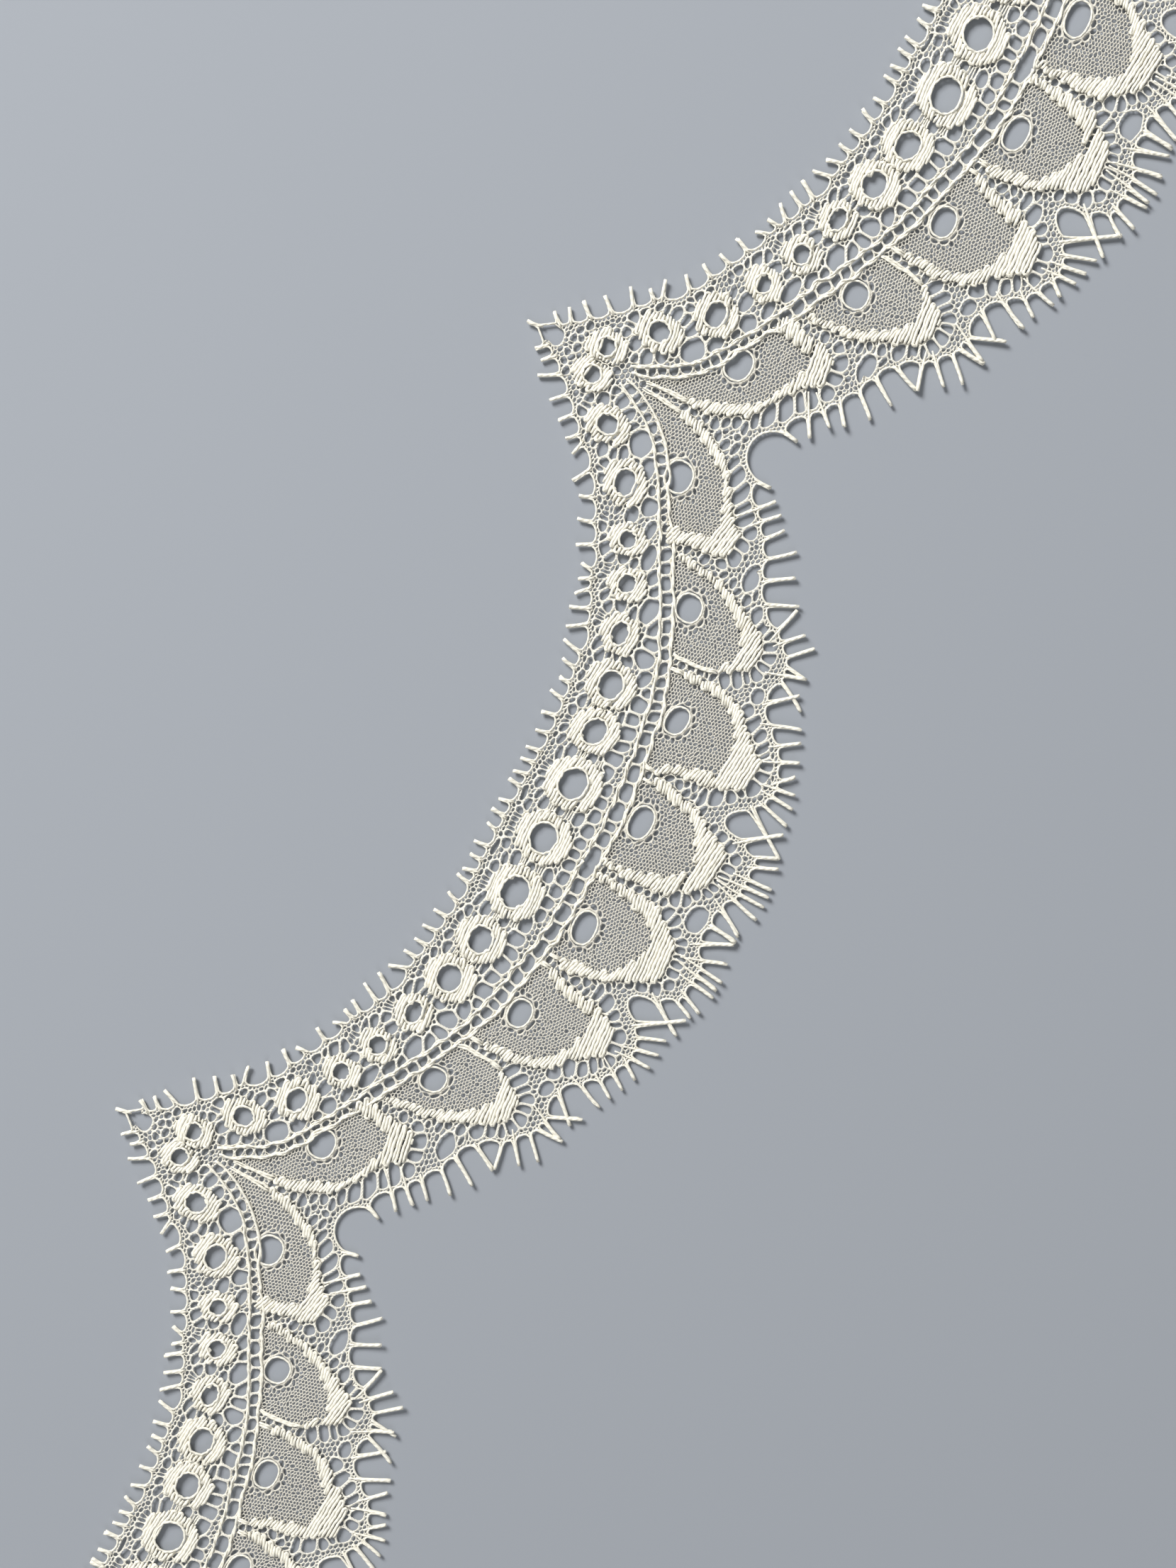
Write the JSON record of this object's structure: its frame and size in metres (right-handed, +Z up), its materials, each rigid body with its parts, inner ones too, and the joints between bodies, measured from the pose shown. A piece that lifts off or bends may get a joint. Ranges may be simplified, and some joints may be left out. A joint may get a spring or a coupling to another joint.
{
  "type": "bobbin lace edging",
  "caption": "Cut length of flat cream cotton lace edging, scalloped, with a chain of small rings, a ladder, filled petals and clipped thread fringes on both edges.",
  "frame": {"origin": "centre of the lace's underside, halfway between its cut ends and halfway across its outline", "axes": "+X along the strip, +Y across it towards the cusped head edge, +Z up from the surface that it lies on"},
  "size_m": [0.25, 0.056, 0.001],
  "materials": {
    "cotton": "matte"
  },
  "bodies": {
    "root": {"lace_band": "cotton", "head_fringe": "cotton", "foot_fringe": "cotton"}
  },
  "joints": []
}
